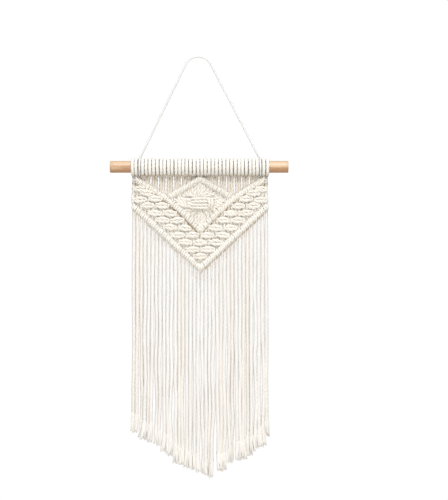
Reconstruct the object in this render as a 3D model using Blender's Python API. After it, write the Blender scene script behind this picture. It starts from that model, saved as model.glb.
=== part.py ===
"""Macrame wall hanging: a knotted cotton panel with a long fringe, on a wooden dowel with a
hanging cord.

Metres, +Z up. The front faces -Y and the dowel runs along X. The origin is the underside of
the hanging cord's crown, where the whole is held up.
"""

import math

import bmesh
import bpy
from mathutils import Vector

GAP = 0.0003  # between pieces that touch in the real object
SHARP_ANGLE = math.radians(50)

# Dowel
DOWEL_LENGTH = 0.240
DOWEL_RADIUS = 0.008
DOWEL_EDGE = 0.0005
DOWEL_SIDES = 24
DOWEL_X = 0.0013
DOWEL_Z = -0.147

# Panel: 36 strands, hanging a little behind the dowel's axis
STRANDS = 36
STRAND_PITCH = 0.0051
STRAND_WIDTH = 0.0038
PANEL_X = 0.0024
PANEL_Y = 0.004
HALF_WIDTH = STRANDS / 2 * STRAND_PITCH
PANEL_FACES_KEPT = 0.8

# Heading: the strands' wraps round the dowel, with room for a turn of the hanging cord
WRAP_PITCH = 0.0049
WRAPS = STRANDS + 2
WRAP_CREST = 0.0126
WRAP_VALLEY = 0.0110
WRAP_MIDDLE = (WRAP_CREST + DOWEL_RADIUS) / 2
WRAP_SIDES = 12
HANGER_WRAPS = (3, 36)
HEADING_EXIT_Z = DOWEL_Z - math.sqrt(WRAP_MIDDLE**2 - PANEL_Y**2)

# Bars of double half hitches, across the strands. The lower V is the fringe's backing, so it
# is a little thinner, to lie clear of the knots above it.
BAR_HALF = 0.0042
LOWER_BAR_HALF = 0.0038
BAR_HALF_DEPTH = 0.0046
BAR_VALLEY = 0.78
UPPER_V_VERTEX_Z = -0.2334
UPPER_V_RISE = 0.0709
UPPER_V_BOW = 0.0081
LOWER_V_VERTEX_Z = -0.2835
LOWER_V_RISE = 0.0850
INVERTED_V_APEX_Z = -0.1625
INVERTED_V_DROP = 0.0265
INVERTED_V_HALF = 0.0446
INVERTED_V_STRANDS = 8

# Large square knot in the middle of the diamond
CENTRE_Z = -0.1960
CENTRE_HALF_WIDTH = 0.0130
CENTRE_HALF_HEIGHT = 0.0075
CENTRE_HALF_DEPTH = 0.0062
CENTRE_ROWS = 3
CENTRE_VALLEY = 0.72
# The diamond's strands enter this knot between these shares of its half width
CENTRE_ENTRY_INNER = 0.15
CENTRE_ENTRY_OUTER = 0.80
CENTRE_ENTRY_LEVEL = 0.3

# Net of square knots between the two Vs, in rows along the lower V
KNOT_HALF_WIDTH = 0.0086
KNOT_HALF_HEIGHT = 0.0043
KNOT_HALF_DEPTH = 0.0040
NET_SLOPE = 0.96
NET_ROWS_Z = (-0.2485, -0.2680)
NET_COLUMN = 2  # strands from one column of knots to the next
FILLER_OFFSET = 0.0019
WORKER_OFFSET = 0.0062

# Fringe, trimmed to a blunt point
FRINGE_WIDTH = 0.0043
FRINGE_FLARE = 0.0046
FRINGE_END_DEPTH = 0.0060
FRINGE_SPREAD = 1.012
FRAY_LENGTH = 0.018
TRIM_LOW_Z = -0.5675
TRIM_LOW_X = 0.012
TRIM_SLOPE = 0.62
TRIM_UNEVEN = 0.0018

# Hanging cord
CORD_DIAMETER = 0.003
CORD_RADIUS = CORD_DIAMETER / 2
TIE_SIDES = 6
TIE_SEGMENTS = 20
TIE_KNOT = (0.00235, 0.0032, 0.0032)
TIE_KNOT_RADIUS = 0.0118  # from the dowel's axis, at the back, on top
CORD_POINT_STEP = 0.0075
CORD_ROUTE = (
    # x, y, z: from the left knot up its straight leg, over the crown and down to the right knot
    (-0.0788, 0.0078, -0.1346),
    (-0.0753, 0.0073, -0.1276),
    (-0.0691, 0.0065, -0.1150),
    (-0.0612, 0.0055, -0.0988),
    (-0.0533, 0.0045, -0.0827),
    (-0.0453, 0.0036, -0.0665),
    (-0.0374, 0.0026, -0.0504),
    (-0.0294, 0.0016, -0.0342),
    (-0.0223, 0.0007, -0.0199),
    (-0.01705, 0.0001, -0.0091),
    (-0.0141, 0.0000, -0.0048),
    (-0.0101, 0.0000, -0.0014),
    (-0.0052, 0.0000, 0.0008),
    (0.0000, 0.0000, 0.0015),
    (0.0052, 0.0000, 0.0008),
    (0.0101, 0.0000, -0.0014),
    (0.0141, 0.0000, -0.0048),
    (0.0168, 0.0001, -0.0087),
    (0.0224, 0.0007, -0.0193),
    (0.0298, 0.0016, -0.0335),
    (0.0382, 0.0026, -0.0495),
    (0.0465, 0.0036, -0.0654),
    (0.0548, 0.0045, -0.0814),
    (0.0632, 0.0055, -0.0973),
    (0.0715, 0.0065, -0.1133),
    (0.0780, 0.0073, -0.1257),
    (0.0827, 0.0078, -0.1346),
)

# Colours
COTTON = (0.86, 0.80, 0.70)
BEECH = (0.74, 0.55, 0.36)


def material(name, colour, roughness):
    made = bpy.data.materials.new(name)
    made.use_nodes = True
    shader = made.node_tree.nodes["Principled BSDF"]
    shader.inputs["Base Color"].default_value = (*colour, 1)
    shader.inputs["Roughness"].default_value = roughness
    shader.inputs["Metallic"].default_value = 0
    return made


def mesh_object(name, bm, surface=None):
    bmesh.ops.recalc_face_normals(bm, faces=bm.faces)
    mesh = bpy.data.meshes.new(name)
    bm.to_mesh(mesh)
    bm.free()
    mesh.shade_smooth()
    mesh.set_sharp_from_angle(angle=SHARP_ANGLE)
    made = bpy.data.objects.new(name, mesh)
    bpy.context.scene.collection.objects.link(made)
    if surface:
        mesh.materials.append(surface)
    return made


def loft(name, rings):
    """A closed body through rings of points, each ring with the same number of them."""
    bm = bmesh.new()
    made = [[bm.verts.new(p) for p in ring] for ring in rings]
    count = len(rings[0])
    for low, high in zip(made, made[1:]):
        for i in range(count):
            j = (i + 1) % count
            bm.faces.new((low[i], low[j], high[j], high[i]))
    bm.faces.new(made[0])
    bm.faces.new(made[-1])
    return mesh_object(name, bm)


def strand_x(number):
    return PANEL_X + (number - (STRANDS + 1) / 2) * STRAND_PITCH


def wrap_x(number):
    return PANEL_X + (number - (WRAPS + 1) / 2) * WRAP_PITCH


def heading_x(strand):
    """Where a strand leaves the heading: its wrap skips the turns of the hanging cord."""
    before = 0 if strand < HANGER_WRAPS[0] else 1 if strand < HANGER_WRAPS[1] - 1 else 2
    return wrap_x(strand + before)


def upper_v_z(x):
    share = abs(x - PANEL_X) / HALF_WIDTH
    return UPPER_V_VERTEX_Z + UPPER_V_RISE * share + 4 * UPPER_V_BOW * share * (1 - share)


def lower_v_z(x):
    return LOWER_V_VERTEX_Z + LOWER_V_RISE * abs(x - PANEL_X) / HALF_WIDTH


def inverted_v_z(x):
    return INVERTED_V_APEX_Z - INVERTED_V_DROP * abs(x - PANEL_X) / INVERTED_V_HALF


def net_z(x, row):
    return NET_ROWS_Z[row] + NET_SLOPE * abs(x - PANEL_X)


def trim_z(number, x):
    uneven = TRIM_UNEVEN * (math.sin(7.3 * number) + math.sin(2.9 * number))
    return TRIM_LOW_Z + TRIM_SLOPE * abs(x - TRIM_LOW_X) + uneven


def sleeve(name, first, last):
    """Neighbouring wraps round the dowel, as one ridged sleeve with its bore."""
    bore = (DOWEL_RADIUS + GAP) / math.cos(math.pi / WRAP_SIDES)

    def ring(x, radius):
        turns = [math.tau * i / WRAP_SIDES for i in range(WRAP_SIDES)]
        return [Vector((x, radius * math.cos(t), DOWEL_Z + radius * math.sin(t))) for t in turns]

    left = wrap_x(first) - WRAP_PITCH / 2
    right = wrap_x(last) + WRAP_PITCH / 2
    rings = [ring(left, bore), ring(left, WRAP_VALLEY)]
    for number in range(first, last + 1):
        rings.append(ring(wrap_x(number), WRAP_CREST))
        rings.append(ring(wrap_x(number) + WRAP_PITCH / 2, WRAP_VALLEY))
    rings.append(ring(right, bore))

    bm = bmesh.new()
    made = [[bm.verts.new(p) for p in one] for one in rings]
    for low, high in zip(made, made[1:] + made[:1]):
        for i in range(WRAP_SIDES):
            j = (i + 1) % WRAP_SIDES
            bm.faces.new((low[i], low[j], high[j], high[i]))
    return mesh_object(name, bm)


def ridged_bar(name, height, xs, half):
    """A bar of hitches along z = height(x): a crest at each of xs and a valley between them."""
    sides = [math.tau * (i + 0.5) / 6 for i in range(6)]
    rings = []

    def add(x, share):
        step = 0.0005
        along = Vector((2 * step, 0, height(x + step) - height(x - step))).normalized()
        across = Vector((-along.z, 0, along.x))
        centre = Vector((x, PANEL_Y, height(x)))
        rings.append(
            [
                centre
                + across * (share * half * math.sin(t))
                + Vector((0, share * BAR_HALF_DEPTH * math.cos(t), 0))
                for t in sides
            ]
        )

    add(xs[0] - (xs[1] - xs[0]) / 2, BAR_VALLEY)
    for here, after in zip(xs, xs[1:] + [2 * xs[-1] - xs[-2]]):
        add(here, 1)
        add((here + after) / 2, BAR_VALLEY)
    return loft(name, rings)


def v_bars(name, height, hitches, half):
    """The two arms of a V, each with one hitch past the vertex, where they cross."""
    arms = []
    for word, side in (("left", -1), ("right", 1)):
        xs = [PANEL_X + side * (n - 0.5) * STRAND_PITCH for n in range(hitches + 1)]
        arms.append(ridged_bar(f"{name}_{word}", arm_height(height, side), xs, half))
    return arms


def arm_height(height, side):
    """One arm of a V, carried on past the vertex as the mirror image of its start."""

    def arm(x):
        if side * (x - PANEL_X) >= 0:
            return height(x)
        return 2 * height(PANEL_X) - height(2 * PANEL_X - x)

    return arm


def strand(name, points, widths, end_slope=None):
    """A four-sided strand along points. With end_slope, its lower end is cut along a slanted bar."""
    rings = []
    for i, point in enumerate(points):
        before = points[max(i - 1, 0)]
        after = points[min(i + 1, len(points) - 1)]
        along = (after - before).normalized()
        if end_slope is not None and i == len(points) - 1:
            across, outward = Vector((-1, 0, -end_slope)), Vector((0, 1, 0))
        else:
            across = Vector((0, 1, 0)).cross(along).normalized()
            outward = along.cross(across)
        across, outward = across * widths[i][0] / 2, outward * widths[i][1] / 2
        rings.append([point + across, point + outward, point - across, point - outward])
    return loft(name, rings)


def square_knot(name, x, z):
    """A flat knot: two rows of wrapped cord, drawn in at the waist and at both ends."""
    outline = (
        # y, z, in shares of the half depth and the half height
        (0.0, 1.0),
        (-0.9, 0.6),
        (-0.6, 0.0),
        (-0.9, -0.6),
        (0.0, -1.0),
        (0.9, -0.6),
        (0.6, 0.0),
        (0.9, 0.6),
    )
    spans = (
        # place along the half width, size of the outline there
        (-1.0, 0.35),
        (-0.5, 1.0),
        (0.5, 1.0),
        (1.0, 0.35),
    )
    rings = [
        [
            Vector(
                (
                    x + place * KNOT_HALF_WIDTH,
                    PANEL_Y + y * size * KNOT_HALF_DEPTH,
                    z + height * size * KNOT_HALF_HEIGHT,
                )
            )
            for y, height in outline
        ]
        for place, size in spans
    ]
    return loft(name, rings)


def centre_knot(name):
    """The large knot: three rows of wrapped cord round the gathered strands."""
    points = []
    for side in (-1, 1):
        for edge in range(2 * CENTRE_ROWS + 1):
            height = 1 - edge / CENTRE_ROWS
            depth = 1 if edge % 2 else CENTRE_VALLEY
            points.append((side * depth, side * -height))
    spans = (
        # place along the half width, size of the outline there
        (-1.0, 0.6),
        (-0.6, 0.95),
        (0.0, 1.0),
        (0.6, 0.95),
        (1.0, 0.6),
    )
    rings = [
        [
            Vector(
                (
                    PANEL_X + place * CENTRE_HALF_WIDTH,
                    PANEL_Y + depth * size * CENTRE_HALF_DEPTH,
                    CENTRE_Z + height * size * CENTRE_HALF_HEIGHT,
                )
            )
            for depth, height in points
        ]
        for place, size in spans
    ]
    return loft(name, rings)


def net_knots():
    """Each square knot of the net: its middle strand position, its column's x, its row and z."""
    knots = []
    column = (NET_COLUMN + 3) / 2
    while column < STRANDS:
        x = strand_x(column)
        for row in range(len(NET_ROWS_Z)):
            knots.append((column, x, row, net_z(x, row)))
        column += NET_COLUMN
    return knots


def in_plane(x, z):
    return Vector((x, PANEL_Y, z))


def net_route(number, knots):
    """A strand from the upper V through the knots that take it, to just above the lower V."""
    x = strand_x(number)
    points = [in_plane(x, upper_v_z(x))]
    held = [k for k in knots if abs(k[0] - number) < 2]
    for column, knot_x, _, knot_z in sorted(held, key=lambda k: -k[3]):
        place = number - column
        offset = FILLER_OFFSET if abs(place) < 1 else WORKER_OFFSET
        points.append(in_plane(knot_x + math.copysign(offset, place), knot_z))
    slope = LOWER_V_RISE / HALF_WIDTH
    clear = (LOWER_BAR_HALF + GAP) * math.hypot(1, slope)
    points.append(in_plane(x, lower_v_z(x) + clear))
    return points, math.copysign(slope, x - PANEL_X)


def diamond_routes(number):
    """A strand of the diamond: in from the inverted V to the knot, and out to the upper V."""
    x = strand_x(number)
    side = math.copysign(1, x - PANEL_X)
    share = (abs(number - (STRANDS + 1) / 2) - 0.5) / (INVERTED_V_STRANDS - 1)
    reach = min(1, 2 * share)
    across = CENTRE_ENTRY_INNER + (CENTRE_ENTRY_OUTER - CENTRE_ENTRY_INNER) * reach
    entry = PANEL_X + side * CENTRE_HALF_WIDTH * across
    level = CENTRE_HALF_HEIGHT * CENTRE_ENTRY_LEVEL * (1 - share)
    return (
        [in_plane(x, inverted_v_z(x)), in_plane(entry, CENTRE_Z + level)],
        [in_plane(entry, CENTRE_Z - level), in_plane(x, upper_v_z(x))],
    )


def panel_pieces():
    """Everything that the panel is fused from, apart from the long part of the heading."""
    first, last = HANGER_WRAPS
    width = (STRAND_WIDTH, STRAND_WIDTH)
    middle = (STRANDS + 1) / 2
    knots = net_knots()
    pieces = [
        sleeve("heading_left", 1, first - 1),
        sleeve("heading_right", last + 1, WRAPS),
        centre_knot("centre_knot"),
        *v_bars("upper_v", upper_v_z, STRANDS // 2, BAR_HALF),
        *v_bars("inverted_v", inverted_v_z, INVERTED_V_STRANDS, BAR_HALF),
    ]
    for column, x, row, z in knots:
        pieces.append(square_knot(f"net_knot_{column:.0f}_{row}", x, z))
    for number in range(1, STRANDS + 1):
        x = strand_x(number)
        inside = abs(number - middle) < INVERTED_V_STRANDS
        under = inverted_v_z(x) if inside else upper_v_z(x)
        top = in_plane(heading_x(number), HEADING_EXIT_Z)
        pieces.append(strand(f"upper_strand_{number}", [top, in_plane(x, under)], [width] * 2))
        if inside:
            for half, route in zip(("in", "out"), diamond_routes(number)):
                pieces.append(strand(f"diamond_{half}_{number}", route, [width] * 2))
        route, slope = net_route(number, knots)
        pieces.append(strand(f"net_strand_{number}", route, [width] * len(route), slope))
    return pieces


def fringe_strand(number):
    x = strand_x(number)
    end_x = PANEL_X + (x - PANEL_X) * FRINGE_SPREAD
    end_z = trim_z(number, end_x)
    top_z = lower_v_z(x)
    body = (FRINGE_WIDTH, FRINGE_WIDTH)
    flare = (FRINGE_FLARE, FRINGE_END_DEPTH)

    def at(z):
        share = (top_z - z) / (top_z - end_z)
        return in_plane(x + (end_x - x) * share, z)

    points = [at(top_z), at(end_z + FRAY_LENGTH), at(end_z + FRAY_LENGTH / 3), at(end_z)]
    return strand(f"fringe_strand_{number}", points, [body, body, flare, flare])


def united(name, base, pieces, surface, kept=None):
    """One body from base and the pieces, which stay in the file as guides.

    kept is the share of its faces that stays after the smallest ones are merged.
    """
    group = bpy.data.collections.new(f"{name}_pieces")
    bpy.context.scene.collection.children.link(group)
    for piece in pieces:
        bpy.context.scene.collection.objects.unlink(piece)
        group.objects.link(piece)
        piece.hide_render = True
        piece.display_type = "WIRE"
    base.name = name
    base.data.materials.append(surface)
    union = base.modifiers.new("union", "BOOLEAN")
    union.operation = "UNION"
    union.operand_type = "COLLECTION"
    union.collection = group
    union.solver = "EXACT"
    if kept:
        lighter = base.modifiers.new("lighter", "DECIMATE")
        lighter.decimate_type = "COLLAPSE"
        lighter.ratio = kept
    return base


def make_dowel(surface):
    bm = bmesh.new()
    bmesh.ops.create_cone(
        bm,
        cap_ends=True,
        segments=DOWEL_SIDES,
        radius1=DOWEL_RADIUS,
        radius2=DOWEL_RADIUS,
        depth=DOWEL_LENGTH,
    )
    made = mesh_object("dowel", bm, surface)
    made.location = (DOWEL_X, 0, DOWEL_Z)
    made.rotation_euler = (0, math.pi / 2, 0)
    edge = made.modifiers.new("edge", "BEVEL")
    edge.width = DOWEL_EDGE
    edge.segments = 1
    edge.limit_method = "ANGLE"
    edge.angle_limit = SHARP_ANGLE
    return made


def make_tie(name, x, surface):
    """A turn of cord round the dowel and the knot that closes it, behind and on top."""
    ring_radius = DOWEL_RADIUS + GAP + CORD_RADIUS
    bm = bmesh.new()
    rings = []
    for i in range(TIE_SEGMENTS):
        turn = math.tau * i / TIE_SEGMENTS
        ring = []
        for j in range(TIE_SIDES):
            side = math.tau * j / TIE_SIDES
            radius = ring_radius + CORD_RADIUS * math.cos(side)
            radius /= math.cos(math.pi / TIE_SEGMENTS)
            place = (
                x + CORD_RADIUS * math.sin(side),
                radius * math.cos(turn),
                DOWEL_Z + radius * math.sin(turn),
            )
            ring.append(bm.verts.new(place))
        rings.append(ring)
    for low, high in zip(rings, rings[1:] + rings[:1]):
        for j in range(TIE_SIDES):
            k = (j + 1) % TIE_SIDES
            bm.faces.new((low[j], low[k], high[k], high[j]))
    made = mesh_object(name, bm)

    bm = bmesh.new()
    bmesh.ops.create_uvsphere(bm, u_segments=10, v_segments=6, radius=1)
    bmesh.ops.scale(bm, vec=TIE_KNOT, verts=bm.verts)
    level = TIE_KNOT_RADIUS * math.sin(math.pi / 4)
    bmesh.ops.translate(bm, vec=(x, level, DOWEL_Z + level), verts=bm.verts)
    knot = mesh_object(f"{name}_knot", bm)
    return united(name, made, [knot], surface)


def smooth_points(route, step):
    """Points read every step from the curve that runs smoothly through the route's points."""
    points = [Vector(p) for p in route]
    padded = [2 * points[0] - points[1], *points, 2 * points[-1] - points[-2]]
    fine = []
    for a, b, c, d in zip(padded, padded[1:], padded[2:], padded[3:]):
        for i in range(20):
            t = i / 20
            fine.append(
                0.5
                * (
                    2 * b
                    + (c - a) * t
                    + (2 * a - 5 * b + 4 * c - d) * t**2
                    + (3 * b - a - 3 * c + d) * t**3
                )
            )
    fine.append(points[-1])
    lengths = [0.0]
    for here, after in zip(fine, fine[1:]):
        lengths.append(lengths[-1] + (after - here).length)
    count = round(lengths[-1] / step)
    read, i = [], 0
    for n in range(count + 1):
        wanted = lengths[-1] * n / count
        while i < len(fine) - 2 and lengths[i + 1] < wanted:
            i += 1
        share = (wanted - lengths[i]) / (lengths[i + 1] - lengths[i])
        read.append(fine[i].lerp(fine[i + 1], share))
    return read


def make_hanger_cord(surface):
    points = smooth_points(CORD_ROUTE, CORD_POINT_STEP)
    curve = bpy.data.curves.new("hanger_cord", "CURVE")
    curve.dimensions = "3D"
    curve.bevel_depth = CORD_RADIUS
    curve.bevel_resolution = 2
    curve.use_fill_caps = True
    spline = curve.splines.new("POLY")
    spline.points.add(len(points) - 1)
    for place, point in zip(spline.points, points):
        place.co = (*point, 1)
    curve.materials.append(surface)
    made = bpy.data.objects.new("hanger_cord", curve)
    bpy.context.scene.collection.objects.link(made)
    return made


def main():
    for old in list(bpy.data.objects):
        bpy.data.objects.remove(old)
    cotton = material("cotton_cord", COTTON, 0.9)
    thin_cotton = material("hanger_cotton", COTTON, 0.9)
    fringe_cotton = material("fringe_cotton", COTTON, 0.92)
    beech = material("dowel_wood", BEECH, 0.55)

    make_dowel(beech)

    first, last = HANGER_WRAPS
    heading = sleeve("heading", first + 1, last - 1)
    united("knotted_panel", heading, panel_pieces(), cotton, kept=PANEL_FACES_KEPT)

    bars = v_bars("lower_v", lower_v_z, STRANDS // 2, LOWER_BAR_HALF)
    strands = [fringe_strand(number) for number in range(1, STRANDS + 1)]
    united("fringe", bars[0], [bars[1], *strands], fringe_cotton)

    for name, number in zip(("hanger_tie_left", "hanger_tie_right"), HANGER_WRAPS):
        make_tie(name, wrap_x(number), thin_cotton)
    make_hanger_cord(thin_cotton)


main()
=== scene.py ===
"""How the macrame wall hanging looks: twisted cotton cord, knot by knot, on a wooden dowel.

The front faces -Y and the origin is the underside of the hanging cord's crown. Sizes and routes
are in millimetres unless a comment says metres. A route is rows of x, y, z and cord radius.
"""

import math
import random

import bmesh
import bpy
import numpy as np
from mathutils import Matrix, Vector


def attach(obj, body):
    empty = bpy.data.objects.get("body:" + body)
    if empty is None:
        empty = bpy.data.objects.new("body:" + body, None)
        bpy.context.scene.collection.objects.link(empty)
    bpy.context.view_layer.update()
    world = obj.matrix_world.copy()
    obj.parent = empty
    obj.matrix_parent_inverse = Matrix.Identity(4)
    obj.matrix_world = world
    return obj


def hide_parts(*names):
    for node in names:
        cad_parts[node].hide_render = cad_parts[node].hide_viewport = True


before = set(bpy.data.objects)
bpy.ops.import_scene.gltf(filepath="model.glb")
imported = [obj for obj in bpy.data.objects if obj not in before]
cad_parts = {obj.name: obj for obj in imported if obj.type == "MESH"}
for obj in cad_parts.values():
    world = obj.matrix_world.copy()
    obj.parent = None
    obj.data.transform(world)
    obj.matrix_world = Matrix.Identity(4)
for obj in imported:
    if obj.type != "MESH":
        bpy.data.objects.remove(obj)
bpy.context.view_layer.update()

MM = 0.001
RNG = random.Random(36)

# Camera: straight on, level with the middle of the picture
PICTURE_HEIGHT = 675  # at the plane of the knots
PICTURE_CENTRE = (34.7, -259.05)
CAMERA_DISTANCE = 2000
SENSOR = 36

# Studio, in metres and watts: each lamp's name, place, diameter, power and colour
WHITE, WARM_WHITE = (1.0, 1.0, 1.0), (1.0, 0.88, 0.74)
LAMPS = (
    ("key", (0.6, -3.1, 2.3), 1.2, 75.0, WHITE),
    ("fill", (0.1, -3.6, -0.1), 1.6, 20.0, WHITE),
    ("overhead", (0.0, -1.2, 3.2), 2.2, 54.0, WHITE),
    ("bounce", (-0.3, -1.9, -1.35), 1.4, 14.5, WARM_WHITE),
)
LAMPS_AIM = (0.0, 0.0, -0.28)
ROOM_LIGHT = 0.4
FLOOR_SIZE, FLOOR_Z = 4.0, -1.5
BACKDROP_RADIUS = 12.0

# Dowel
DOWEL_X = 1.3
DOWEL_Z = -147
DOWEL_RADIUS = 8
DOWEL_LENGTH = 240
DOWEL_SIDES = 72
DOWEL_RINGS = 40
EASED, EASED_MIDDLE = 0.5, 0.15  # how far a sawn end's edge is sanded off, and half-way round it
UNEVEN = 0.002  # share of the radius

# Panel
STRANDS = 36
MIDDLE = (STRANDS + 1) / 2
STRAND_PITCH = 5.1
PANEL_X = 2.4
PANEL_Y = 4
HALF_WIDTH = STRANDS / 2 * STRAND_PITCH
WRAP_PITCH = 4.98
WRAP_PRESSED = 0.1  # how far a wrap is flattened against the dowel
HANGER_ROOM = 3.4  # of the hanging cord's turn, between the second and third wraps at each end
HANGER_AFTER = (2, STRANDS - 2)
SHORTEST_FREE = 14  # stretch of strand between the heading and a bar that hangs free
PAIRED = 0.65  # how far a free strand leans towards the other of its pair

# Cord radii
FREE = 2.45
WRAPPED = 2.33
HITCHED = (1.8, 2.0)  # where a bar falls to the right, and where it rises
KNOTTED = 2.05
SPREAD = 2.75  # where strands fan out between the centre knot and the bars
LOOSE = 2.75
HOLDING = 1.5  # of the cord that a bar is tied on

# Twist: the length of one full turn of the plies, and how steeply they stand out
LAY = 17.0
THIN_LAY = 10.5
PLY_ROUND = 0.7

# How cord is drawn in each part: distance between its rings of points, depth of the grooves
# between its plies as a share of its radius, how dark the painted shade in them is, and its tone
# where that is fixed
HANGER_CORD = {"step": 0.8, "turn": THIN_LAY, "depth": 0.02, "shade": 0.0}
TIE_CORD = {"step": 0.8, "turn": THIN_LAY, "depth": 0.12, "shade": 0.2}
HEADING_CORD = {"step": 1.1, "depth": 0.13, "shade": 0.2}
PANEL_CORD = {"step": 1.0, "depth": 0.25, "shade": 0.5}
LOWER_BAR_CORD = {"step": 1.0}
HOLDING_CORD = {"step": 1.5, "tone": 0.6}
FRINGE_CORD = {"step": 1.6, "depth": 0.14, "shade": 0.06}
LOCK = {"step": 2.2, "sides": 5, "plies": 0}

# Unevenness: the most that each thing is off its regular place, or off its size as a share
WRAP_OFF, WRAP_LEAN, WRAP_SIZE, WRAP_BAR_OFF = 0.2, 0.25, 0.02, 0.5
HITCH_OFF, HITCH_SIZE = 0.15, 0.05
NET_TILT, NET_SIZE, NET_OFF_X, NET_OFF_Z = 0.12, 0.06, 0.5, 0.6
CROSSING_OFF_X, CROSSING_OFF_Y, CROSSING_OFF_Z = 0.2, 0.2, 0.25
FRINGE_OFF_X, FRINGE_OFF_Y = 0.3, 0.9

# Bars
UPPER_V = (-233.4, 70.9, 8.1)  # vertex, rise and bow
LOWER_V = (-283.5, 85.0, 0.0)
INVERTED_APEX, INVERTED_DROP, INVERTED_HALF = -162.5, 26.5, 44.6
INVERTED_STRANDS = 8
V_NARROWED = 0.99  # width of a V, as a share of its strands' width
BAR_Y = 2.2
BAR_TURN = 2.7  # from the holding cord's axis to the middle of a hitch
BAR_LEFT = 5.0  # from the lower V's axis down to where a strand has left it
HITCH_DEGREES = range(-40, 761, 32)
HITCH_PITCH, HITCH_HALF = 3.3, 2.1  # along the bar: of one turn, and from the hitch's middle

# Knots
CENTRE_Z = -196.0
NET_SLOPE = 0.96
NET_ROWS = (-248.5, -268.0)
NET_UNDER_BAR = 9.8  # the least from the upper V down to the net's first row
NET_ROW_DROP = 14.5  # the least between the net's rows

# Frayed ends: the fine locks of each start somewhere in the fray's first part (as a share of
# it), end a little over or short of the strand's end, and lean, flare and curl on the way
FRAY = 26.0
LOCKS = 30
LOCK_STARTS = (-0.05, 0.4)
LOCK_OVER, LOCK_SHORT = 0.6, 4.5
LOCK_RADIUS, LOCK_THINNED = 0.85, 0.4
LEAN, LEAN_OUTWARDS = 1.8, 0.02
FLARE, CURL = (0.1, 1.6), 0.5

# Fringe: how its strands sway, draw together into tufts and splay towards their ends
SWAY, WAVE = 1.4, (70, 170)  # sideways, and the shortest and longest wave
RIPPLE, RIPPLE_WAVE = 0.8, 90  # forwards and back
GATHER, GATHER_FROM = 0.3, 0.25  # share of the way to a tuft's middle, from this far down
SPLAY = 0.012  # share of a strand's distance from the middle
IN_FRONT, BEHIND, FARTHER_BACK = -0.8, 0.9, 1.8  # y of every second strand, and of those set back

# Painted shade, part of the cotton's colour. A strength of 1 is as dark as the painted shade gets.
# In threes: where it starts, the distance over which it reaches full strength, and that strength
PANEL_BACK = (4.2, 5.5, 0.5)  # y
UNDER_HEADING = (-14.5, 5.0, 0.2)  # height from the dowel's axis
HUNG_OVER_BAR = 4.5  # height over a bar's axis from where strands hang free
HUNG_SHADE, HUNG_BACK = 0.28, (5, 1.6, 0.5)
HEADING_FOOT = (9.2, 2.6, 0.6)  # below the dowel's axis

# Painted shade round the dowel and along the bars, where it ends and over what distance it fades
ON_DOWEL, ON_DOWEL_FADE = 2.4, 1.8  # out from the wood
BAR_EDGE = 5.2  # from a bar's axis to its lower edge, measured across the bar
EDGE_REACH, EDGE_FADE = 1.76, 1.1  # on both sides of that edge
GAP_START, GAP_RISE, GAP_FADE = 3, 2, 3  # between the strands below a bar, from its axis
GAP_Y, GAP_DEPTH = 1.8, 1.5  # y where a gap starts to darken, and how much deeper it is dark
UPPER_GAPS, UPPER_EDGE = 9.0, (0.9, 0.5)  # reach, and strength on the left and on the right
LOWER_GAPS, VERTEX_GAPS = (9.0, 16.0), 5.0  # reach, and how much farther it is at the vertex
LOWER_EDGE, LOWER_EDGE_RIGHT = (0.1, 0.7), 0.4  # strength, and how much more on the right

# Cotton's colours: lit, in its warmer patches, and the painted shade in the grooves between plies
# and under and behind other cord
THIN_COTTON = ((0.79, 0.79, 0.79), (0.78, 0.78, 0.775), (0.73, 0.73, 0.72))
KNOT_COTTON = ((0.91, 0.90, 0.86), (0.88, 0.855, 0.80), (0.47, 0.365, 0.225))
FRINGE_COTTON = ((0.84, 0.84, 0.835), (0.82, 0.795, 0.755), (0.50, 0.41, 0.29))
FIBRES = (260.0, 34.0, 1.0)  # to the metre along a cord, and to its round
SLUBS = (70.0, 3.0, 1.0)
PATCHES = 26.0  # to the metre, over the whole hanging
YELLOWED_BELOW, YELLOWED_RATE = -0.36, 3.0  # metres, and share for each metre

# Wood's colours, the brown also painted shade along the dowel's lower side and the covered one
# painted shade under the wraps, and the grained bands and pores to the metre along and across the
# dowel
LIGHT_WOOD, BROWN_WOOD = (0.64, 0.455, 0.295), (0.45, 0.245, 0.12)
PORE_WOOD, COVERED_WOOD = (0.36, 0.20, 0.10), (0.17, 0.12, 0.08)
GRAIN = (22.0, 330.0, 330.0)
PORES = (60.0, 2600.0, 2600.0)
COVERED_EDGE = 1500.0  # share for each metre in under the wraps

# Hanging cord, the same points as the solid's, in metres
CORD_DIAMETER = 0.003
CORD_ROUTE = (
    (-0.0788, 0.0078, -0.1346),
    (-0.0753, 0.0073, -0.1276),
    (-0.0691, 0.0065, -0.1150),
    (-0.0612, 0.0055, -0.0988),
    (-0.0533, 0.0045, -0.0827),
    (-0.0453, 0.0036, -0.0665),
    (-0.0374, 0.0026, -0.0504),
    (-0.0294, 0.0016, -0.0342),
    (-0.0223, 0.0007, -0.0199),
    (-0.01705, 0.0001, -0.0091),
    (-0.0141, 0.0000, -0.0048),
    (-0.0101, 0.0000, -0.0014),
    (-0.0052, 0.0000, 0.0008),
    (0.0000, 0.0000, 0.0015),
    (0.0052, 0.0000, 0.0008),
    (0.0101, 0.0000, -0.0014),
    (0.0141, 0.0000, -0.0048),
    (0.0168, 0.0001, -0.0087),
    (0.0224, 0.0007, -0.0193),
    (0.0298, 0.0016, -0.0335),
    (0.0382, 0.0026, -0.0495),
    (0.0465, 0.0036, -0.0654),
    (0.0548, 0.0045, -0.0814),
    (0.0632, 0.0055, -0.0973),
    (0.0715, 0.0065, -0.1133),
    (0.0780, 0.0073, -0.1257),
    (0.0827, 0.0078, -0.1346),
)
THIN = CORD_DIAMETER / MM / 2
TIE_OUT = 1.75  # from the dowel's surface to the axis of the cord's turn round it
TIE_DRIFT = 1.2  # along the dowel, for each turn
TIE_KNOT_Y, TIE_KNOT_UP = 8.9, 9.3  # the knot's middle, from the dowel's axis


# ---------------------------------------------------------------- finishes

MIX_SHARE, MIX_FIRST, MIX_SECOND, MIXED = 0, 6, 7, 2  # a Mix node's sockets for colours


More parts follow.
